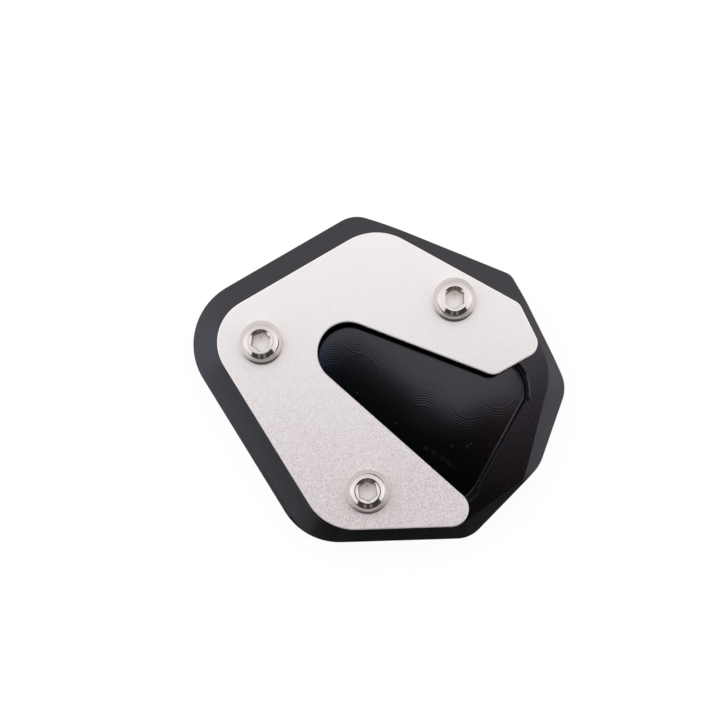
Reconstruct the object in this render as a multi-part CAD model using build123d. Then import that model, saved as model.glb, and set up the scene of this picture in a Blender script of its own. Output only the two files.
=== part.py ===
from build123d import *
import os
from math import cos, radians, sin, tan

# Kickstand foot enlarger: a bevelled base with a foot pocket, a notched clamp plate and three screws.
# The base lies flat on the ground with +Z up. Its front side runs along X, and the origin is at the middle
# of the base's own box, on the ground. The stand's foot drops into the pocket, its leg rises through the
# notch, and the clamp plate is screwed down over the rim of the foot.
#
# Every outline is a ring of straight sides. A side is given by the way it faces, in degrees from +X, by its
# reach, the distance from the origin to its line, and by the radius of the round that joins it to the next
# side. Sides go round anticlockwise, and a round with a negative radius is an inside corner.

# Base, seen from above: the way each side faces and how far out it stands
base_height = 12.0
front_facing = -90.0
front_reach = 40.1
front_right_facing = -45.6
front_right_reach = 43.57
right_facing = -21.7
right_corner_cut = 6.38
back_right_facing = 24.0
back_right_reach = 41.1
back_facing = 67.0
back_reach = 36.16
back_left_facing = 118.4
back_left_reach = 38.69
front_left_facing = 210.0
front_left_reach = 37.03
front_corner_radius = 7.5
front_right_corner_radius = 10.0
right_corner_radius = 7.9
back_right_corner_radius = 3.2
back_corner_radius = 6.9
left_corner_radius = 16.2
front_left_corner_radius = 15.7
ground_edge_chamfer = 0.5

# Bevel that runs all round, from the flat top down to the upright wall
bevel_angle = 45.0
bevel_edge_chamfer = 0.2
shoulder_round = 0.3
top_right_facing = -16.2
right_rim = 3.8
top_front_right_facing = -55.5
front_right_rim = 2.65
top_front_corner_radius = 6.0
top_front_right_corner_radius = 5.0
top_right_corner_radius = 14.0

# Clamp plate: how far its sides stand in from the sides of the base, and its own end
plate_thickness = 3.0
plate_setback = 0.25
front_rim = 3.12
front_left_rim = 6.44
back_left_rim = 6.18
back_right_rim = 2.34
plate_back_facing = 59.1
back_rim = 3.87
plate_end_facing = -62.7
plate_end_reach = 13.63
plate_front_tip_radius = 4.35
plate_back_tip_radius = 3.35
plate_end_corner_radius = 3.5
plate_right_corner_radius = 3.6
plate_back_corner_radius = 13.45
plate_left_corner_radius = 11.0
plate_front_corner_radius = 13.1
plate_edge_chamfer = 0.25

# Notch for the leg of the stand: a round about the leg, opening out between two straight edges
leg_x = -7.15
leg_y = 6.03
notch_radius = 7.5
notch_front_facing = 46.6
notch_back_facing = -112.9

# Pocket for the foot of the stand, which reaches in under the clamp plate
pocket_depth = 6.0
clamp_overlap = 5.6
pocket_wall_facing = -31.0
pocket_wall_rim = 10.27
pocket_heel_facing = 0.0
pocket_heel_rim = 8.3
pocket_heel_radius = 9.2
pocket_toe_radius = 7.7
pocket_wall_radius = 3.0
pocket_floor_round = 0.8
pocket_rim_chamfer = 0.8
pocket_rim_angle = 45.0

# Button-head screws: places, and the turn of each hexagon socket from the Y axis. The dome is part of a ball,
# rounded at its rim and with a narrow flat round the mouth. The socket's walls lean outwards by the draft, and
# its floor slopes a little to the middle
left_screw_x = -28.2
left_screw_y = 9.23
left_socket_turn = -9.8
right_screw_x = 19.13
right_screw_y = 18.18
right_socket_turn = -1.8
front_screw_x = -3.49
front_screw_y = -27.74
front_socket_turn = 6.2
thread_diameter = 6.0
screw_length = 10.0
screw_tip_chamfer = 0.8
head_diameter = 10.5
head_height = 3.3
head_land = 1.4
head_rim_round = 0.8
mouth_flat = 0.22
socket_width = 4.0
socket_depth = 2.3
socket_draft = 6.5
socket_mouth_diameter = 5.9
socket_mouth_slope = 30.0
socket_floor_slope = 5.0

# Fits round the screws
thread_clearance = 0.05
plate_hole_clearance = 0.3
tapped_spare_depth = 1.0
drill_half_angle = 60.0


def heading(facing):
    """Unit vector that points the way a side faces."""
    return Vector(cos(radians(facing)), sin(radians(facing)))


def crossing(first, second, inset=0.0):
    """Point where the lines of two sides cross, with both lines moved inwards by inset."""
    facing_a, reach_a, _ = first
    facing_b, reach_b, _ = second
    a, b = heading(facing_a), heading(facing_b)
    spread = a.X * b.Y - a.Y * b.X
    near, far = reach_a - inset, reach_b - inset
    return Vector((near * b.Y - far * a.Y) / spread, (far * a.X - near * b.X) / spread)


def turn_between(side, following):
    """Angle from one side's facing to the next one's, from -180 to 180 degrees."""
    return (following[0] - side[0] + 180.0) % 360.0 - 180.0


def fitting_rounds(sides):
    """Radius of each side's round, made smaller where two rounds would meet on a short side."""
    followers = sides[1:] + sides[:1]
    points = [crossing(side, following) for side, following in zip(sides, followers)]
    lengths = [(point - before).length for point, before in zip(points, points[-1:] + points[:-1])]
    takes = [abs(s[2] * tan(radians(turn_between(s, f) / 2))) for s, f in zip(sides, followers)]
    takes_before = takes[-1:] + takes[:-1]
    shares = [min(1.0, room / (a + b)) for room, a, b in zip(lengths, takes_before, takes)]
    shares_after = shares[1:] + shares[:1]
    return [side[2] * min(a, b) for side, a, b in zip(sides, shares, shares_after)]


def outline(sides):
    """Face inside a ring of sides, each one (facing, reach, radius of the round to the next side)."""
    edges = []
    finish = None
    for side, following, radius in zip(sides, sides[1:] + sides[:1], fitting_rounds(sides)):
        centre = crossing(side, following, radius)
        turn = turn_between(side, following)
        corner = [centre + heading(side[0] + turn * share) * radius for share in (0.0, 0.5, 1.0)]
        if finish is None:
            first_start = corner[0]
        else:
            edges.append(Line(finish, corner[0]))
        edges.append(ThreePointArc(*corner))
        finish = corner[2]
    edges.append(Line(finish, first_start))
    return make_face(edges)


def reach_round_leg(facing, radius):
    """Reach of a side that touches the circle of this radius about the leg of the stand."""
    way = heading(facing)
    return way.X * leg_x + way.Y * leg_y + radius


# The right side cuts off the corner where its two neighbours would meet
right_corner = crossing((front_right_facing, front_right_reach, 0), (back_right_facing, back_right_reach, 0))
right_reach = right_corner.dot(heading(right_facing)) - right_corner_cut
base_outline = outline([
    (front_facing, front_reach, front_corner_radius),
    (front_right_facing, front_right_reach, front_right_corner_radius),
    (right_facing, right_reach, right_corner_radius),
    (back_right_facing, back_right_reach, back_right_corner_radius),
    (back_facing, back_reach, back_corner_radius),
    (back_left_facing, back_left_reach, left_corner_radius),
    (front_left_facing, front_left_reach, front_left_corner_radius),
])

# The clamp plate's sides lie parallel to the base's on the front, the left and the back right
plate_front_reach = front_reach - front_rim
plate_back_right_reach = back_right_reach - back_right_rim
plate_back_reach = back_reach - back_rim
plate_back_left_reach = back_left_reach - back_left_rim
plate_front_left_reach = front_left_reach - front_left_rim
plate_outline = outline([
    (front_facing, plate_front_reach, plate_front_tip_radius),
    (notch_front_facing, reach_round_leg(notch_front_facing, -notch_radius), -notch_radius),
    (notch_back_facing, reach_round_leg(notch_back_facing, -notch_radius), plate_back_tip_radius),
    (plate_end_facing, plate_end_reach, plate_end_corner_radius),
    (back_right_facing, plate_back_right_reach, plate_right_corner_radius),
    (plate_back_facing, plate_back_reach, plate_back_corner_radius),
    (back_left_facing, plate_back_left_reach, plate_left_corner_radius),
    (front_left_facing, plate_front_left_reach, plate_front_corner_radius),
])


def beside_plate(facing, reach, radius):
    """Side of the flat top that follows a side of the clamp plate, a hair outside it."""
    return (facing, reach + plate_setback, radius + plate_setback)


# The flat top follows the clamp plate and spreads past its open end on the right
top_outline = outline([
    (front_facing, plate_front_reach + plate_setback, top_front_corner_radius),
    (top_front_right_facing, front_right_reach - front_right_rim, top_front_right_corner_radius),
    (top_right_facing, right_reach - right_rim, top_right_corner_radius),
    beside_plate(back_right_facing, plate_back_right_reach, plate_right_corner_radius),
    beside_plate(plate_back_facing, plate_back_reach, plate_back_corner_radius),
    beside_plate(back_left_facing, plate_back_left_reach, plate_left_corner_radius),
    beside_plate(front_left_facing, plate_front_left_reach, plate_front_corner_radius),
])

# The pocket is the notch grown by the overlap, closed on the right by a wall with a heel corner
pocket_radius = notch_radius + clamp_overlap
pocket_front_facing = notch_front_facing - 180.0
pocket_back_facing = notch_back_facing + 180.0
pocket_outline = outline([
    (pocket_front_facing, reach_round_leg(pocket_front_facing, pocket_radius), pocket_toe_radius),
    (pocket_wall_facing, right_reach - pocket_wall_rim, pocket_wall_radius),
    (pocket_heel_facing, right_reach - pocket_heel_rim, pocket_heel_radius),
    (pocket_back_facing, reach_round_leg(pocket_back_facing, pocket_radius), pocket_radius),
])

screw_places = [
    (left_screw_x, left_screw_y, left_socket_turn),
    (right_screw_x, right_screw_y, right_socket_turn),
    (front_screw_x, front_screw_y, front_socket_turn),
]
plate_top = base_height + plate_thickness


def make_pocket():
    """Space milled out of the base: upright walls, a rounded foot to them and a chamfered rim."""
    floor = base_height - pocket_depth
    space = extrude(Pos(0, 0, floor) * pocket_outline, pocket_depth)
    space = fillet(space.edges().group_by(Axis.Z)[0], pocket_floor_round)
    rim_foot = base_height - pocket_rim_chamfer
    rim = extrude(Pos(0, 0, rim_foot) * pocket_outline, pocket_rim_chamfer, taper=-pocket_rim_angle)
    return space + rim


def make_tapped_hole():
    """Blind hole for one screw, with its mouth at z = 0 and a drilled point at the bottom."""
    radius = thread_diameter / 2 + thread_clearance
    depth = screw_length - plate_thickness + tapped_spare_depth
    profile = Polyline(
        (0, 0),
        (radius, 0),
        (radius, -depth),
        (0, -depth - radius / tan(radians(drill_half_angle))),
        close=True,
    )
    return revolve(Plane.XZ * make_face(profile), Axis.Z)


def make_base():
    """Bevelled base: an upright-walled blank trimmed by a cone-like block that widens downwards."""
    blank = extrude(base_outline, base_height)
    blank = chamfer(blank.edges().group_by(Axis.Z)[0], ground_edge_chamfer)
    bevel = extrude(Pos(0, 0, base_height) * top_outline, -base_height, taper=-bevel_angle)
    body = blank & bevel
    body = fillet(new_edges(blank, bevel, combined=body), shoulder_round)
    body = chamfer(body.edges().group_by(Axis.Z)[-1], bevel_edge_chamfer)
    body -= make_pocket()
    hole = make_tapped_hole()
    for x, y, _ in screw_places:
        body -= Pos(x, y, base_height) * hole
    return body


def make_clamp_plate():
    """Flat plate with the leg notch and three plain holes, its upper edge broken."""
    plate = extrude(plate_outline, plate_thickness)
    plate = chamfer(plate.edges().group_by(Axis.Z)[-1], plate_edge_chamfer)
    hole_radius = thread_diameter / 2 + plate_hole_clearance
    hole = Cylinder(hole_radius, plate_thickness, align=(Align.CENTER, Align.CENTER, Align.MIN))
    for x, y, _ in screw_places:
        plate -= Pos(x, y, 0) * hole
    return Pos(0, 0, base_height) * plate


def make_head_profile():
    """Half section of a screw, on the axis: shank, seat, domed head and the sunk mouth of its socket."""
    shank = thread_diameter / 2
    head = head_diameter / 2
    mouth = socket_mouth_diameter / 2
    mouth_depth = mouth * tan(radians(socket_mouth_slope))
    brow = mouth + mouth_flat
    dome_centre = (brow**2 + head_height**2 - head**2 - head_land**2) / (2 * (head_height - head_land))
    dome_radius = (brow**2 + (head_height - dome_centre) ** 2) ** 0.5
    dome_middle = (brow + head) / 2
    dome_level = dome_centre + (dome_radius**2 - dome_middle**2) ** 0.5
    section = make_face([
        Polyline(
            (brow, head_height),
            (mouth, head_height),
            (0, head_height - mouth_depth),
            (0, -screw_length),
            (shank - screw_tip_chamfer, -screw_length),
            (shank, screw_tip_chamfer - screw_length),
            (shank, 0),
            (head, 0),
            (head, head_land),
        ),
        ThreePointArc((head, head_land), (dome_middle, dome_level), (brow, head_height)),
    ])
    rim = section.vertices().group_by(Axis.X)[-1].sort_by(Axis.Y)[-1]
    return fillet(rim, head_rim_round)


def make_screw(turn):
    """Button-head screw with its seat at z = 0 and its hexagon socket turned from the Y axis."""
    screw = revolve(Plane.XZ * make_head_profile(), Axis.Z)
    hexagon = Rot(0, 0, turn) * RegularPolygon(socket_width / 2, 6, major_radius=False, rotation=30)
    socket_floor = head_height - socket_depth
    screw -= extrude(Pos(0, 0, socket_floor) * hexagon, socket_depth, taper=-socket_draft)
    corner = socket_width / 2 / cos(radians(30))
    point_depth = corner * tan(radians(socket_floor_slope))
    point = Cone(0, corner, point_depth, align=(Align.CENTER, Align.CENTER, Align.MAX))
    point &= extrude(hexagon, -point_depth)
    return screw - Pos(0, 0, socket_floor) * point


base = make_base()
box = base.bounding_box()
to_origin = Pos(-box.center().X, -box.center().Y, 0)
screws = [to_origin * Pos(x, y, plate_top) * make_screw(turn) for x, y, turn in screw_places]

os.makedirs("parts", exist_ok=True)
export_step(to_origin * base, "parts/base_plate.step")
export_step(to_origin * make_clamp_plate(), "parts/clamp_plate.step")
export_step(Compound(children=screws), "parts/clamp_screws.step")
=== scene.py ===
# %% [markdown]
# # A kickstand foot enlarger, from bare solids to a finished picture
#
# This lesson dresses a small machined assembly: a black anodised base with a pocket, a silver plate that
# clamps the foot of a motorbike's stand into it, and three button-head screws. The shapes come ready made
# and at their real size. What is left is what Blender is for: the finish of each metal, one crisp edge, the
# white sheet it lies on, the surroundings that the metals mirror, and the camera.

import math

import bpy
from mathutils import Matrix, Vector


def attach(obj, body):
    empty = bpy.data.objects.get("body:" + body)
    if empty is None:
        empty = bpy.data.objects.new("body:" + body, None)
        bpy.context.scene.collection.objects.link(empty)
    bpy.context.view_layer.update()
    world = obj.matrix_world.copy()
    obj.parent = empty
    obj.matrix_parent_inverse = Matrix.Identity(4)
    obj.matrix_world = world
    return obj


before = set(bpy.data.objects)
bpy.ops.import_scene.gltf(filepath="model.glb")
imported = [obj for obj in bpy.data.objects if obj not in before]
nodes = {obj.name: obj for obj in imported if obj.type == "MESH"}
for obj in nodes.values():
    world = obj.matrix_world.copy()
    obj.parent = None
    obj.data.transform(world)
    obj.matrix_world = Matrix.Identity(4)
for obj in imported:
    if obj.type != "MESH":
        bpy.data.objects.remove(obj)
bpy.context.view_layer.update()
MM = 0.001
print("pieces:", sorted(nodes))

# %% [markdown]
# ## Shader maths as Python
#
# A finish is a small graph of nodes. Placing those nodes by hand in code is long and hard to read, so two
# small classes do it. `Graph` adds a node and fills its sockets. `Value` is what a node gives out, and it
# takes Python's own operators, so `1 - mask` adds a Math node. Numbers that never change stay in Python.
# Most of what follows is masks: `step` takes a pair of limits, and is 0 at the first and 1 at the second.


# %% A socket that can be used in sums
class Value:
    """A number, colour or vector that varies over a surface: one output socket of a node."""

    def __init__(self, graph, socket):
        self.graph = graph
        self.socket = socket

    def math(self, operation, *operands):
        return self.graph.node("Math", {"operation": operation}, dict(enumerate(operands)))

    def __add__(self, other):
        return self.math("ADD", self, other)

    __radd__ = __add__

    def __sub__(self, other):
        return self.math("SUBTRACT", self, other)

    def __rsub__(self, other):
        return self.math("SUBTRACT", other, self)

    def __mul__(self, other):
        return self.math("MULTIPLY", self, other)

    __rmul__ = __mul__

    def __truediv__(self, other):
        return self.math("DIVIDE", self, other)

    def __rtruediv__(self, other):
        return self.math("DIVIDE", other, self)

    def __pow__(self, other):
        return self.math("POWER", self, other)

    def absolute(self):
        return self.math("ABSOLUTE", self)

    def sine(self):
        return self.math("SINE", self)

    def at_most(self, other):
        return self.math("MINIMUM", self, other)

    def at_least(self, other):
        return self.math("MAXIMUM", self, other)

    def step(self, low, high):
        """0 below low, 1 above high, and a smooth rise between them. With low above high it falls."""
        inputs = {"Value": self, "From Min": low, "From Max": high}
        return self.graph.node("MapRange", {"interpolation_type": "SMOOTHSTEP"}, inputs)


print("sums on sockets:", ", ".join(name for name in vars(Value) if not name.startswith("__")))

# %% A graph that nodes are added to
# A Mix node's sockets for numbers and for colours share their names, so those for colours go by number
MIX_SHARE = 0
MIX_FIRST = 6
MIX_SECOND = 7
MIX_RESULT = 2


class Graph:
    """The node tree of one material or of the world."""

    def __init__(self, tree):
        self.tree = tree
        self.tree.nodes.clear()

    def node(self, kind, settings=None, inputs=None, output=0):
        made = self.tree.nodes.new("ShaderNode" + kind)
        for name, setting in (settings or {}).items():
            setattr(made, name, setting)
        for key, value in (inputs or {}).items():
            if isinstance(value, Value):
                self.tree.links.new(value.socket, made.inputs[key])
            else:
                made.inputs[key].default_value = value
        return Value(self, made.outputs[output]) if made.outputs else None

    def mix(self, share, first, second):
        """A colour between two colours."""
        inputs = {MIX_SHARE: share, MIX_FIRST: first, MIX_SECOND: second}
        return self.node("Mix", {"data_type": "RGBA"}, inputs, output=MIX_RESULT)

    def parts(self, vector):
        """The three numbers of a vector."""
        return [self.node("SeparateXYZ", None, {0: vector}, output=axis) for axis in range(3)]

    def noise(self, place, per_mm, detail=0.0):
        """Random patches from 0 to 1, at so many to the millimetre."""
        return self.node("TexNoise", None, {"Vector": place, "Scale": per_mm, "Detail": detail})

    def bump(self, height, depth):
        """The surface's direction where a height of 1 stands for this depth."""
        return self.node("Bump", None, {"Height": height, "Distance": depth})

    def distance_in_plan(self, x, y, places):
        """Distance, seen from above, to the nearest of some places."""
        here = self.node("CombineXYZ", None, {0: x, 1: y})
        nearest = None
        for place in places:
            ends = {0: here, 1: (*place, 0)}
            gap = self.node("VectorMath", {"operation": "DISTANCE"}, ends, output="Value")
            nearest = gap if nearest is None else nearest.at_most(gap)
        return nearest

    def place_in_mm(self):
        """Where a point is on the piece, in millimetres."""
        place = self.node("TexCoord", output="Object")
        return self.node("VectorMath", {"operation": "SCALE"}, {0: place, "Scale": 1 / MM})


print("ways to add nodes:", ", ".join(name for name in vars(Graph) if not name.startswith("__")))


# %% A new finish, and a piece that gets it
def new_finish(name):
    """A new material and its empty graph."""
    print("new finish:", name)
    material = bpy.data.materials.new(name)
    material.use_nodes = True
    return material, Graph(material.node_tree)


def dress(node, material):
    """Gives a piece one material all over."""
    mesh = nodes[node].data
    mesh.materials.clear()
    mesh.materials.append(material)
    print(node, "is now", material.name)


# %% [markdown]
# ## Marks that the cutter left
#
# The pocket floor was milled with a round cutter, and each place where the cutter turned kept a fan of fine
# rings. The flat round the pocket kept straight lines from the cutter's feed. They are about a thousandth of
# a millimetre deep, so they never show as shape, only as ripples in what the metal mirrors. Modelled, they
# would cost millions of faces. Painted as lighter lines, they would stay the same when the light moves. A
# height that feeds a Bump node bends the mirrored light itself, and two short formulas give that height.

# %% Rings on the pocket floor
CUTTER_RADIUS = 4.6
RING_PITCH = 0.62
RING_START = 0.2
LIP_WIDTH = 0.25
LIP_HEIGHT = 1.5
# Cosine of the angle from the way that a fan faces, outside its edge and inside it
FAN_EDGE = (0.1, 0.6)
# Each turn of the cutter: its middle in mm, the way its rings face in degrees, how far they spread in mm, and
# how deep they are beside the deepest
CUTTER_TURNS = (
    (-11.1, -0.9, 80, 9.0, 0.55),
    (-4.2, 10.8, 215, 0.5, 0.8),
    (-4.7, 1.3, 50, 10.0, 0.55),
    (10.1, -11.9, 130, 8.0, 1.0),
    (6.3, -16.2, 60, 6.0, 1.0),
    (12.6, -6.7, 95, 4.0, 0.8),
    (22.6, -6.3, 225, 6.0, 0.8),
    (29.7, -4.0, 265, 7.0, 0.7),
)


def cutter_rings(x, y):
    """Height of the rings on the pocket floor: about -1 to 1.5 where the fans of two turns don't overlap."""
    height = 0.0
    for middle_x, middle_y, facing, spread, depth in CUTTER_TURNS:
        across = x - middle_x
        along = y - middle_y
        radius = (across * across + along * along) ** 0.5
        towards = across * math.cos(math.radians(facing)) + along * math.sin(math.radians(facing))
        side = (towards / radius).step(*FAN_EDGE)
        gap = radius - CUTTER_RADIUS
        rings = (gap * (math.tau / RING_PITCH)).sine() * gap.step(0.0, RING_START) * gap.step(spread, 0.0)
        lip = gap.absolute().step(LIP_WIDTH, 0.0)
        height = height + depth * side * (rings + LIP_HEIGHT * lip)
    return height


print("rings from", len(CUTTER_TURNS), "turns of the cutter,", RING_PITCH, "mm apart")

# %% Lines on the flat
FEED_PITCH = 0.64
FEED_LEAN = 0.58
FEED_LEAN_BAND = (-3.0, -14.0)
FEED_PIVOT_X = 36.0


def feed_lines(x, y):
    """Fine lines across the flat, from -1 to 1: level at the back, and leaning down to the right in front."""
    lean = FEED_LEAN * y.step(*FEED_LEAN_BAND)
    return ((y + lean * (x - FEED_PIVOT_X)) * (math.tau / FEED_PITCH)).sine()


print("feed lines", FEED_PITCH, "mm apart")

# %% [markdown]
# ## Black anodised aluminium
#
# Anodising grows a hard, glassy layer of alumina on the metal, and a dye makes it black. Nearly all that is
# seen of it is what it mirrors, so the colour is close to nothing and the index is the layer's. A metallic
# shader takes its mirror from its colour, so a black one would mirror next to nothing. The floor of the
# pocket was cut finest and mirrors like dark glass, and the bevels blur more. One material dresses the whole
# base: masks by height tell floor, flat and bevel apart, so the finish changes just where the cut did. Some
# dust and a wiped smear keep it from looking new. The foot of the pocket's end wall and its rim round both
# corners get painted shade: a matt black in place of the shine.

# %% Painted shade round the pocket's end wall
# Limits of the masks in mm, or in square mm for the reach
END_WALL_X = (14.0, 17.0)
END_WALL_Y = (8.0, 4.0)
END_WALL_REACH_SQUARED = (1450, 1400)
BACK_CORNER_Y = (-7.7, -7.4)
FRONT_CORNER_Y = (-28.1, -28.4)
RIM_FROM = (11.15, 11.25)
RIM_TO = (11.97, 11.9)
HEEL_FROM = (11.5, 11.6)
HEEL_FRONT_Y = (-7.0, -6.0)
HEEL_BACK_Y = (-0.5, -1.5)
FOOT_FROM = (6.03, 6.1)
FRONT_FOOT_FROM = (6.0, 6.02)
FRONT_FOOT_Y = (-14.0, -22.0)
FOOT_TO = (8.0, 7.0)
FOOT_SHARE = 0.85


def end_wall_painted_shade(x, y, z):
    """Painted shade on the pocket's end wall: at its foot, and at its rim round both corners, less the heel.
    """
    end_wall = x.step(*END_WALL_X) * y.step(*END_WALL_Y) * (x * x + y * y).step(*END_WALL_REACH_SQUARED)
    corners = y.step(*BACK_CORNER_Y) + y.step(*FRONT_CORNER_Y)
    rim = corners * z.step(*RIM_FROM) * z.step(*RIM_TO)
    heel = z.step(*HEEL_FROM) * y.step(*HEEL_FRONT_Y) * y.step(*HEEL_BACK_Y)
    front_foot = z.step(*FRONT_FOOT_FROM) * y.step(*FRONT_FOOT_Y)
    foot = z.step(*FOOT_FROM).at_least(front_foot) * z.step(*FOOT_TO)
    return end_wall * (rim * (1.0 - heel) + FOOT_SHARE * foot)


print("dull edges up to", FOOT_TO[0], "mm and from", RIM_FROM[0], "mm")

# %% Dust and a smear on the pocket floor
SPECKS = ((-5.4, -3.6), (3.9, -11.5), (17.7, -17.6), (21.5, -17.8), (22.3, -17.2))
SPECK_EDGE = (0.28, 0.05)
DUST_SHARE = 0.3
SMEAR_X = 10.1
SMEAR_Y = -17.2
SMEAR_SLOPE = -0.69
SMEAR_EDGE = (1.0, 0.2)
SMEAR_START_X = (9.5, 11.5)
SMEAR_FINISH_X = (19.0, 17.0)
SMEAR_PATCHES_PER_MM = 0.9
SMEAR_PATCHES = (0.45, 0.6)
SMEAR_SHARE = 0.06


def floor_dirt(graph, place, x, y):
    """How much of the floor's black is covered: by specks of dust, and by a thin patchy smear."""
    dust = DUST_SHARE * graph.distance_in_plan(x, y, SPECKS).step(*SPECK_EDGE)
    across = (y - SMEAR_Y - SMEAR_SLOPE * (x - SMEAR_X)).absolute().step(*SMEAR_EDGE)
    along = x.step(*SMEAR_START_X) * x.step(*SMEAR_FINISH_X)
    patches = graph.noise(place, SMEAR_PATCHES_PER_MM, detail=2.0).step(*SMEAR_PATCHES)
    return dust + SMEAR_SHARE * across * along * patches


print("specks of dust:", len(SPECKS))

# %% Black anodised aluminium
POCKET_FLOOR = (7.0, 6.4)
FLAT_TOP = (11.9, 11.98)
LAYER_INDEX = 1.58
LAYER_TINT = (0.92, 0.865, 1, 1)
BLACK_DYE = (0.0012, 0.0017, 0.0024, 1)
GREY_DUST = (0.2, 0.21, 0.23, 1)
PAINTED_SHADE_BLACK = (0.008, 0.008, 0.01, 1)
BEVEL_ROUGHNESS = 0.2
FLOOR_ROUGHNESS = 0.09
FLAT_ROUGHNESS = 0.15
MARK_DEPTH = 0.001 * MM
# Feed lines beside the depth of the marks: all over, and what is added in a band towards the front
LINE_DEPTH = 0.6
DEEPER_LINES = 2.2
DEEPER_FROM_Y = (-4.0, -14.0)
DEEPER_TO_Y = (-32.0, -24.0)


def black_anodised():
    material, graph = new_finish("black_anodised")
    place = graph.place_in_mm()
    x, y, z = graph.parts(place)
    pocket = z.step(*POCKET_FLOOR)
    flat = z.step(*FLAT_TOP)
    black = graph.mix(pocket * floor_dirt(graph, place, x, y), BLACK_DYE, GREY_DUST)
    smoother_floor = (BEVEL_ROUGHNESS - FLOOR_ROUGHNESS) * pocket
    smoother_flat = (BEVEL_ROUGHNESS - FLAT_ROUGHNESS) * flat
    line_depth = LINE_DEPTH + DEEPER_LINES * y.step(*DEEPER_FROM_Y) * y.step(*DEEPER_TO_Y)
    marks = pocket * cutter_rings(x, y) + flat * line_depth * feed_lines(x, y)
    anodised = graph.node(
        "BsdfPrincipled",
        None,
        {
            "Base Color": black,
            "Roughness": BEVEL_ROUGHNESS - smoother_floor - smoother_flat,
            "IOR": LAYER_INDEX,
            "Specular Tint": LAYER_TINT,
            "Normal": graph.bump(marks, MARK_DEPTH),
        },
    )
    # Painted shade: a matt black that replaces the shine at the end wall's foot and at its rim
    painted_shade_bsdf = graph.node("BsdfDiffuse", None, {"Color": PAINTED_SHADE_BLACK})
    surface = graph.node("MixShader", None, {0: end_wall_painted_shade(x, y, z), 1: anodised, 2: painted_shade_bsdf})
    graph.node("OutputMaterial", None, {"Surface": surface})
    return material


BLACK = black_anodised()
dress("base_plate", BLACK)

# %% [markdown]
# ## The land at the pocket's straight wall
#
# The chamfer round the pocket's rim stops where the wall at the outer end runs straight: there the flat
# meets the wall in a crisp edge. The solid has that chamfer all the way round, and its mesh is left alone, so
# a slim bar fills the chamfer along the straight run. A prism could be typed in as six points. Here a cube is
# stretched to a square bar and bisected along the chamfer's slope, and a small bevel on the bar's upper inner
# edge catches the light as a cut edge does.

# %% A bar that fills the chamfer
# Both ends of the chamfer's lower edge along the straight wall
LAND_START = Vector((23.244, -28.195, 11.2)) * MM
LAND_FINISH = Vector((35.846, -7.221, 11.2)) * MM
LAND_SIDE = 0.8 * MM
UPWARD = Vector((0, 0, 1))
land_run = LAND_FINISH - LAND_START
land_outward = land_run.normalized().cross(UPWARD)


def chamfer_filler():
    """A square bar along the straight wall, with its lower outer half cut away along the chamfer's slope."""
    bpy.ops.object.select_all(action="DESELECT")
    bpy.ops.mesh.primitive_cube_add(size=1)
    bar = bpy.context.object
    bar.name = "pocket_land"
    bar.scale = (land_run.length, LAND_SIDE, LAND_SIDE)
    bar.rotation_euler.z = math.atan2(land_run.y, land_run.x)
    bar.location = LAND_START + land_run / 2 + (land_outward + UPWARD) * LAND_SIDE / 2
    bpy.ops.object.transform_apply(location=True, rotation=True, scale=True)
    slope = UPWARD - land_outward
    bpy.ops.object.mode_set(mode="EDIT")
    bpy.ops.mesh.select_all(action="SELECT")
    bpy.ops.mesh.bisect(plane_co=LAND_START, plane_no=slope, use_fill=True, clear_inner=True)
    bpy.ops.object.mode_set(mode="OBJECT")
    return bar


land = chamfer_filler()
print("bar:", len(land.data.polygons), "faces,", round(land_run.length / MM, 2), "mm long")

# %% A small bevel on its inner edge
LAND_EDGE = 0.06 * MM
SAME_PLACE = 0.1 * MM


def soften_inner_edge(bar):
    """Bevels the one edge where the flat meets the wall."""
    mesh = bar.data
    middle_height = LAND_START.z + LAND_SIDE / 2
    for part in (*mesh.polygons, *mesh.edges, *mesh.vertices):
        part.select = False
    for edge in mesh.edges:
        ends = [mesh.vertices[index].co for index in edge.vertices]
        on_top = all(end.z > middle_height for end in ends)
        inside = all(abs((end - LAND_START) @ land_outward) < SAME_PLACE for end in ends)
        edge.select = on_top and inside
    bpy.ops.object.mode_set(mode="EDIT")
    bpy.ops.mesh.select_mode(type="EDGE")
    bpy.ops.mesh.bevel(offset=LAND_EDGE, segments=2)
    bpy.ops.object.mode_set(mode="OBJECT")


soften_inner_edge(land)
land.data.materials.append(BLACK)
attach(land, "root")
print("pocket land:", len(land.data.polygons), "faces")

# %% [markdown]
# ## Where the screws are
#
# Two finishes need the middle of each screw: the steel, whose zones are rings about it, and the silver
# plate, which is darker where a head meets it. The places could be typed in, but then they would be wrong
# as soon as the solids change. The highest points of the screws lie on three rings, and the mean of a ring
# is its middle.

# %% Find the screws
HEAD_WIDTH = 10.5 * MM
SAME_HEIGHT = 0.02 * MM


def screw_places():
    """Middle of each screw head in plan, in mm: the mean of the points on its highest ring."""
    points = [vertex.co for vertex in nodes["clamp_screws"].data.vertices]
    top = max(point.z for point in points)
    rings = []
    for point in points:
        if point.z > top - SAME_HEIGHT:
            near = [ring for ring in rings if (ring[0] - point).length < HEAD_WIDTH]
            if near:
                near[0].append(point)
            else:
                rings.append([point])
    return [sum((point.xy for point in ring), Vector((0, 0))) / len(ring) / MM for ring in rings]


SCREW_PLACES = screw_places()
print("screws in mm:", [tuple(round(side, 2) for side in place) for place in SCREW_PLACES])
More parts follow.
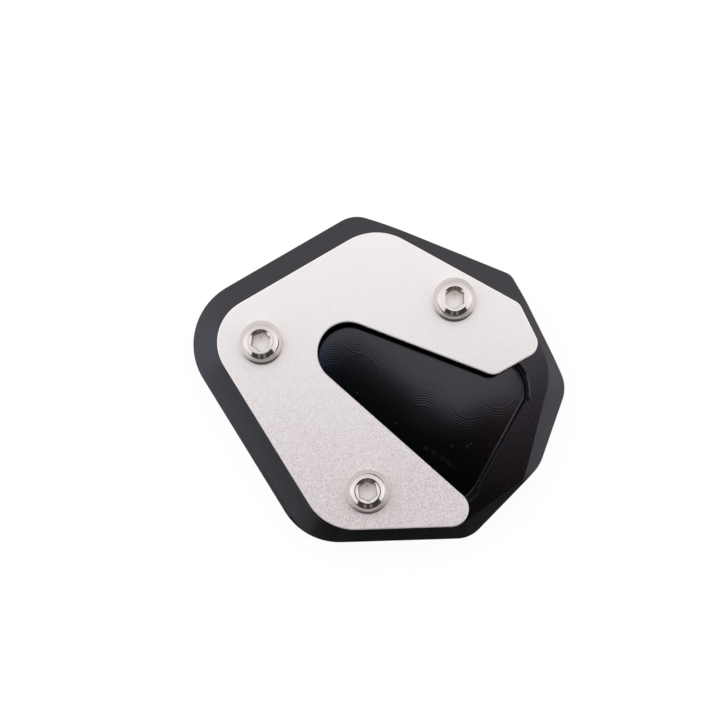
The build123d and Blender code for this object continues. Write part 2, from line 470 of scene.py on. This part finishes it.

# %% [markdown]
# ## Clear anodised aluminium
#
# The plate was blasted with fine beads and then anodised without a dye, which leaves a pale satin with a
# grain of about a quarter of a millimetre. A fully metallic shader would go dark wherever it mirrors
# something dark, but the pits scatter light from all round, so the top is only about half metallic. One
# noise gives the pits as bump and as a faint speckle, stronger towards the front, where the grain shows
# most. Below its edge chamfer the plate was cut bright, so there the finish turns to smooth, full metal. At
# the near foot of each screw head a thin line is painted dark: painted shade, where the head and the plate
# shade each other.

# %% Silver anodised aluminium
PLATE_WALL = (14.76, 14.7)
PLATE_FRONT_Y = (18.0, -32.0)
GRAIN_PER_MM = 3.9
GRAIN_DEPTH = 0.09 * MM
GRAIN_AT_BACK = 0.35
GRAIN_LOST_ON_WALL = 0.8
SPECKLE_EDGE = (0.36, 0.64)
SPECKLE_AT_BACK = 0.03
SPECKLE_MORE_IN_FRONT = 0.28
FOOT_LINE = 0.5
FOOT_LINE_EDGE = (5.12, 4.95)
FOOT_LINE_SHARE = 0.8
CLEAR_SILVER = (0.985, 0.955, 0.958, 1)
PIT_SHADE = (0.22, 0.07, 0.11, 1)
FOOT_SHADE = (0.01, 0.012, 0.012, 1)
TOP_METALLIC = 0.45
TOP_ROUGHNESS = 0.38
WALL_ROUGHNESS = 0.22


def silver_anodised():
    material, graph = new_finish("silver_anodised")
    place = graph.place_in_mm()
    x, y, z = graph.parts(place)
    wall = z.step(*PLATE_WALL)
    front = y.step(*PLATE_FRONT_Y)
    grain = graph.noise(place, GRAIN_PER_MM, detail=1.0)
    speckle = grain.step(*SPECKLE_EDGE) * (SPECKLE_AT_BACK + SPECKLE_MORE_IN_FRONT * front)
    # Painted shade: a thin dark line on the plate at the near foot of each screw head
    painted_foot_shade = graph.distance_in_plan(x, y + FOOT_LINE, SCREW_PLACES).step(*FOOT_LINE_EDGE)
    speckled = graph.mix(speckle, CLEAR_SILVER, PIT_SHADE)
    grain_left = (GRAIN_AT_BACK + (1 - GRAIN_AT_BACK) * front) * (1 - GRAIN_LOST_ON_WALL * wall)
    shader = graph.node(
        "BsdfPrincipled",
        None,
        {
            "Base Color": graph.mix(FOOT_LINE_SHARE * painted_foot_shade, speckled, FOOT_SHADE),
            "Metallic": TOP_METALLIC + (1 - TOP_METALLIC) * wall,
            "Roughness": TOP_ROUGHNESS - (TOP_ROUGHNESS - WALL_ROUGHNESS) * wall,
            "Normal": graph.bump(grain * grain_left, GRAIN_DEPTH),
        },
    )
    graph.node("OutputMaterial", None, {"Surface": shader})
    return material


dress("clamp_plate", silver_anodised())

# %% [markdown]
# ## Bright stainless steel
#
# The screw heads are the brightest mirrors here, so their look is mostly their shape. Four zones differ: the
# dome is polished, the cone at the mouth of the socket is turned and a little rougher, the walls of the
# hexagon are painted a darker brown as painted shade, and its floor is painted paler as painted light, with a
# small dark dot behind its middle as a painted reflection of the camera above. Separate materials would need
# faces picked by hand. Distance from the screw's axis and height find the zones instead, also if a head
# moves. Towards its rim the real dome curves down faster than a plain ball, and a bump that falls with the
# distance turns the mirrored light that way. The near side of the rim has its half of the dark line at the
# foot of the head, painted on as shade.

# %% Bright stainless steel
HEAD_TOP = 18.3
MOUTH_RADIUS = 2.95
MOUTH_EDGE = 0.1
MOUTH_SLOPE = math.tan(math.radians(30))
SOCKET_FLOOR = 16.0
ZONE_START = 0.02
ZONE_FULL = 0.08
DOT_BEHIND = 1.2
DOT_EDGE = (0.25, 0.08)
NEAR_RIM_EDGE = (5.45, 5.65)
NEAR_RIM_SHARE = 0.9
DOME_TURN = 3.75
DOME_REACH = 5.0
DOME_FALL = 0.18
BRIGHT_STEEL = (0.7, 0.652, 0.63, 1)
PAINTED_FLOOR_LIGHT = (0.94, 0.91, 0.88, 1)
RIM_SHADE = (0.03, 0.035, 0.035, 1)
SHADE_AND_REFLECTION_BROWN = (0.34, 0.25, 0.2, 1)
DOME_ROUGHNESS = 0.12
ROUGHER_MOUTH = 0.1
ROUGHER_SOCKET = 0.12
ROUGHER_FLOOR = 0.2


def stainless():
    material, graph = new_finish("stainless")
    x, y, z = graph.parts(graph.place_in_mm())
    radius = graph.distance_in_plan(x, y, SCREW_PLACES)
    mouth = radius.step(MOUTH_RADIUS, MOUTH_RADIUS - MOUTH_EDGE)
    cone = HEAD_TOP - MOUTH_SLOPE * (MOUTH_RADIUS - radius)
    socket = mouth * (cone - z).step(ZONE_START, ZONE_FULL)
    floor = socket * z.step(SOCKET_FLOOR + ZONE_FULL, SOCKET_FLOOR + ZONE_START)
    wall = socket - floor
    # Painted reflection: a small dark dot behind the floor's middle, the camera above mirrored in the floor
    painted_dot_reflection = floor * graph.distance_in_plan(x, y - DOT_BEHIND, SCREW_PLACES).step(*DOT_EDGE)
    # Painted shade: the near side of each head's rim is darkened, its half of the dark line at the foot
    painted_rim_shade = graph.distance_in_plan(x, y - FOOT_LINE, SCREW_PLACES).step(*NEAR_RIM_EDGE)
    # Painted light: the socket floor's colour is paler than the steel, so that the floor shows bright
    steel = graph.mix(floor, BRIGHT_STEEL, PAINTED_FLOOR_LIGHT)
    steel_with_rim_shade = graph.mix(NEAR_RIM_SHARE * painted_rim_shade, steel, RIM_SHADE)
    rougher = ROUGHER_MOUTH * mouth + ROUGHER_SOCKET * socket + ROUGHER_FLOOR * floor
    past_turn = radius.at_least(DOME_TURN).at_most(DOME_REACH) - DOME_TURN
    shader = graph.node(
        "BsdfPrincipled",
        None,
        {
            # The same brown is painted shade on the hexagon's walls and a painted reflection in the dot
            "Base Color": graph.mix(wall + painted_dot_reflection, steel_with_rim_shade, SHADE_AND_REFLECTION_BROWN),
            "Metallic": 1.0,
            "Roughness": DOME_ROUGHNESS + rougher,
            "Normal": graph.bump(-DOME_FALL * past_turn * past_turn, MM),
        },
    )
    graph.node("OutputMaterial", None, {"Surface": shader})
    return material


dress("clamp_screws", stainless())

# %% [markdown]
# ## The white sheet
#
# The part lies on plain white paper that fills the picture. Paper lit by lamps comes out grey in a picture
# whose whites aren't burnt out, so the camera sees it mostly as plain white light, with a tenth of the real
# paper left for the contact shadow. To all other rays it is paper, with pools of lamplight painted on as a
# glow on both sides, bluish on the left. The bevels mirror it, so its front edge matters: past that edge
# they mirror the dark table.

# %% A sheet under the part
SHEET_FRONT = -97 * MM
SHEET_REACH = 2.0
bpy.ops.object.select_all(action="DESELECT")
bpy.ops.mesh.primitive_plane_add(size=2 * SHEET_REACH)
sheet = bpy.context.object
sheet.name = "white_sheet"
sheet.location.y = SHEET_FRONT + SHEET_REACH
bpy.ops.object.transform_apply(location=True)
print("sheet:", 2 * SHEET_REACH, "m wide, from", round(SHEET_FRONT / MM), "mm in front of the part")

# %% White paper
WHITE = (1, 1, 1, 1)
PAPER = (0.95, 0.95, 0.95, 1)
LEFT_TINT = (0.8, 0.95, 1.3, 1)
# Where each painted pool of lamplight on the sheet starts and where it is full, in mm
LEFT_LAMP_X = (-40.0, -120.0)
LEFT_LAMP_Y = (-90.0, -30.0)
RIGHT_LAMP_X = (40.0, 120.0)
RIGHT_LAMP_Y = (-70.0, 20.0)
BOTH_LAMPS_Y = (90.0, 30.0)
PAINTED_POOL_STRENGTH = 0.4
SEEN_STRENGTH = 1.04
SEEN_SHARE = 0.9


def white_paper():
    material, graph = new_finish("white_paper")
    x, y, _ = graph.parts(graph.place_in_mm())
    left = x.step(*LEFT_LAMP_X) * y.step(*LEFT_LAMP_Y)
    right = x.step(*RIGHT_LAMP_X) * y.step(*RIGHT_LAMP_Y)
    lamp = (left + right) * y.step(*BOTH_LAMPS_Y)
    tint = graph.mix(left, WHITE, LEFT_TINT)
    seen = graph.node("LightPath", output="Is Camera Ray")
    paper = graph.node("BsdfDiffuse", None, {"Color": PAPER})
    # Painted light: pools of lamplight on the sheet, added as a glow
    painted_lamplight = graph.node("Emission", None, {"Color": tint, "Strength": PAINTED_POOL_STRENGTH * lamp})
    lit = graph.node("AddShader", None, {0: paper, 1: painted_lamplight})
    glow = graph.node("Emission", None, {"Color": WHITE, "Strength": SEEN_STRENGTH})
    surface = graph.node("MixShader", None, {0: SEEN_SHARE * seen, 1: lit, 2: glow})
    graph.node("OutputMaterial", None, {"Surface": surface})
    return material


sheet.data.materials.append(white_paper())

# %% [markdown]
# ## The surroundings
#
# Polished metal is a picture of the room. Here the room is a white tent with a lamp on each side, open at the
# front, where it is dark and only two pale stripes and a faint warm glow high up show. Lamps and cloth walls
# could be modelled, but a world made of a few masks on the direction of the ray does the same with no noise.
# What the camera sees straight past the sheet stays plain white.

# %% The surroundings
TENT_LEVEL = 0.84
TENT_MORE_ABOVE = 0.42
LAMP_HALO = 0.42
LAMP_CORE = 0.37
DARK_LEVEL = 0.06
HORIZON = (0.02, -0.02)
# The dark opening lies between three planes: the shares of a ray's x, y and height, and half the blur
OPENING_PLANES = (
    (0.0, -1.0, -0.1, 0.03),
    (1.0, -0.87, 0.15, 0.06),
    (-1.0, -1.2, 0.25, 0.06),
)
STRIPE_LEVEL = 0.2
STRIPE_PLACES = (-0.2, 0.19)
STRIPE_EDGE = (0.11, 0.05)
LEAST_FORWARD = 0.1
WARM_HEIGHT = (0.6, 0.8)
WARM_LEVEL = 0.15
WARM_COLOUR = (1, 0.5, 0.48, 1)


def tent_opening(x, y, up):
    """1 in the dark opening at the front of the tent."""
    opening = 1.0
    for share_x, share_y, share_up, blur in OPENING_PLANES:
        opening = opening * (share_x * x + share_y * y + share_up * up).step(-blur, blur)
    return opening


def surroundings():
    world = bpy.data.worlds.new("white_tent")
    bpy.context.scene.world = world
    world.use_nodes = True
    graph = Graph(world.node_tree)
    x, y, z = graph.parts(graph.node("TexCoord", output="Generated"))
    up = z.at_least(0.0)
    lamps = (LAMP_HALO * x * x + LAMP_CORE * x**8) * (1.0 - up) ** 2.0
    tent = TENT_LEVEL + TENT_MORE_ABOVE * up + lamps
    table = z.step(*HORIZON)
    dark = table.at_least(tent_opening(x, y, up))
    aside = x / (-1.0 * y).at_least(LEAST_FORWARD)
    stripes = 0.0
    for place in STRIPE_PLACES:
        stripes = stripes + (aside - place).absolute().step(*STRIPE_EDGE)
    brightness = tent * (1.0 - dark) + dark * (DARK_LEVEL + STRIPE_LEVEL * stripes * (1.0 - table))
    warm = dark * z.step(*WARM_HEIGHT)
    seen = graph.node("LightPath", output="Is Camera Ray")
    strength = (brightness + WARM_LEVEL * warm).at_least(seen)
    colour = graph.mix(warm * (1.0 - seen), WHITE, WARM_COLOUR)
    light = graph.node("Background", None, {"Color": colour, "Strength": strength})
    graph.node("OutputWorld", None, {"Surface": light})
    print("world:", len(world.node_tree.nodes), "nodes")


surroundings()

# %% [markdown]
# ## The camera
#
# The part is seen from almost straight above, from a little over 0.4 m up and a little to the front. The
# focal length is known in pixels of the picture, so the lens follows from the width of the sensor. A Track To
# constraint could aim the camera, but it also levels the horizon, and the picture is turned by nearly two
# degrees. So the three axes of the camera are worked out and set as one matrix.

# %% The camera
FOCAL_PIXELS = 1722
FRAME_PIXELS = 720
SENSOR_WIDTH = 36
CLIP_START = 10 * MM
CAMERA_PLACE = Vector((-1.91, -24.379, 433.0)) * MM
CAMERA_AIM = Vector((-4.489, 4.884, 0.0)) * MM
PICTURE_TURN = math.radians(1.83)
picture_up = Vector((math.sin(PICTURE_TURN), math.cos(PICTURE_TURN), 0))
camera_data = bpy.data.cameras.new("camera")
camera_data.sensor_width = SENSOR_WIDTH
camera_data.lens = SENSOR_WIDTH * FOCAL_PIXELS / FRAME_PIXELS
camera_data.clip_start = CLIP_START
camera = bpy.data.objects.new("camera", camera_data)
bpy.context.scene.collection.objects.link(camera)
forward = (CAMERA_AIM - CAMERA_PLACE).normalized()
right = forward.cross(picture_up).normalized()
up = right.cross(forward)
camera.matrix_world = Matrix((right, up, -forward)).transposed().to_4x4()
camera.location = CAMERA_PLACE
bpy.context.scene.camera = camera
bpy.context.scene.view_settings.view_transform = "Standard"
print("lens:", round(camera_data.lens, 1), "mm, at", round(CAMERA_PLACE.z / MM), "mm above the sheet")

# %% [markdown]
# ## Cards that the metals mirror
#
# Seen from above, the pocket floor mirrors whatever is beside the lens: its dark body and a few dim, warm or
# bluish shapes further out. The world can't show them, because they are so near that each point of the floor
# mirrors another part of them. So plain cards stand just above the level of the lens. The camera doesn't see
# them, and they are no part of the object.


# %% What the cards are made of
def matt(name, colour):
    material, graph = new_finish(name)
    card_stock = graph.node("BsdfDiffuse", None, {"Color": (*colour, 1)})
    graph.node("OutputMaterial", None, {"Surface": card_stock})
    return material


def glowing(name, colour, strength):
    material, graph = new_finish(name)
    glow = graph.node("Emission", None, {"Color": (*colour, 1), "Strength": strength})
    graph.node("OutputMaterial", None, {"Surface": glow})
    return material


black_card = matt("black_card", (0.01, 0.011, 0.014))
brown_card = matt("brown_card", (0.1, 0.055, 0.05))
tan_card = matt("tan_card", (0.34, 0.15, 0.15))
grey_card = matt("grey_card", (0.85, 0.85, 0.85))
blue_glow = glowing("blue_glow", (0.35, 0.65, 1.0), 2.6)

# %% Cards that the metals mirror
ABOVE_LENS = 10
# Each card: its name, its left, right, front and back edges in mm from the lens, its turn about the lens in
# degrees, how far it hangs below the highest card in mm, and its material
CARDS = (
    ("camera_body", -100, 50, -52, 30, 0, 0, black_card),
    ("camera_top", -60, -4, 0, 67, 0, 1, black_card),
    ("camera_shoulder", -46, 10, -40, 47.2, -38.7, 2, black_card),
    ("front_right", -20, 140, -60, 27, -28, 2, black_card),
    ("warm_near", 50, 61, -20, 34, 0, 0, brown_card),
    ("warm_far", 61, 130, -40, 35, 0, 0, tan_card),
    ("grey_far", 75, 130, 35, 54, 0, 0, grey_card),
    ("blue_lamp", -34, -23, 61, 72, 0, 3, blue_glow),
)


def card(name, left, right, front, back, turn, below, material):
    """A card near the level of the lens, seen only in reflections."""
    bpy.ops.object.select_all(action="DESELECT")
    bpy.ops.mesh.primitive_plane_add(size=1)
    made = bpy.context.object
    made.name = name
    spin = Matrix.Rotation(math.radians(turn), 3, "Z")
    middle = Vector(((left + right) / 2, (front + back) / 2, ABOVE_LENS - below))
    made.scale = ((right - left) * MM, (back - front) * MM, 1)
    made.rotation_euler.z = math.radians(turn)
    made.location = CAMERA_PLACE + spin @ middle * MM
    bpy.ops.object.transform_apply(location=True, rotation=True, scale=True)
    made.visible_camera = False
    made.data.materials.append(material)
    print("card:", name, right - left, "by", back - front, "mm")


for entry in CARDS:
    card(*entry)

# %% [markdown]
# ## The finished piece
#
# Nothing here scales the solids, so the piece keeps their size.
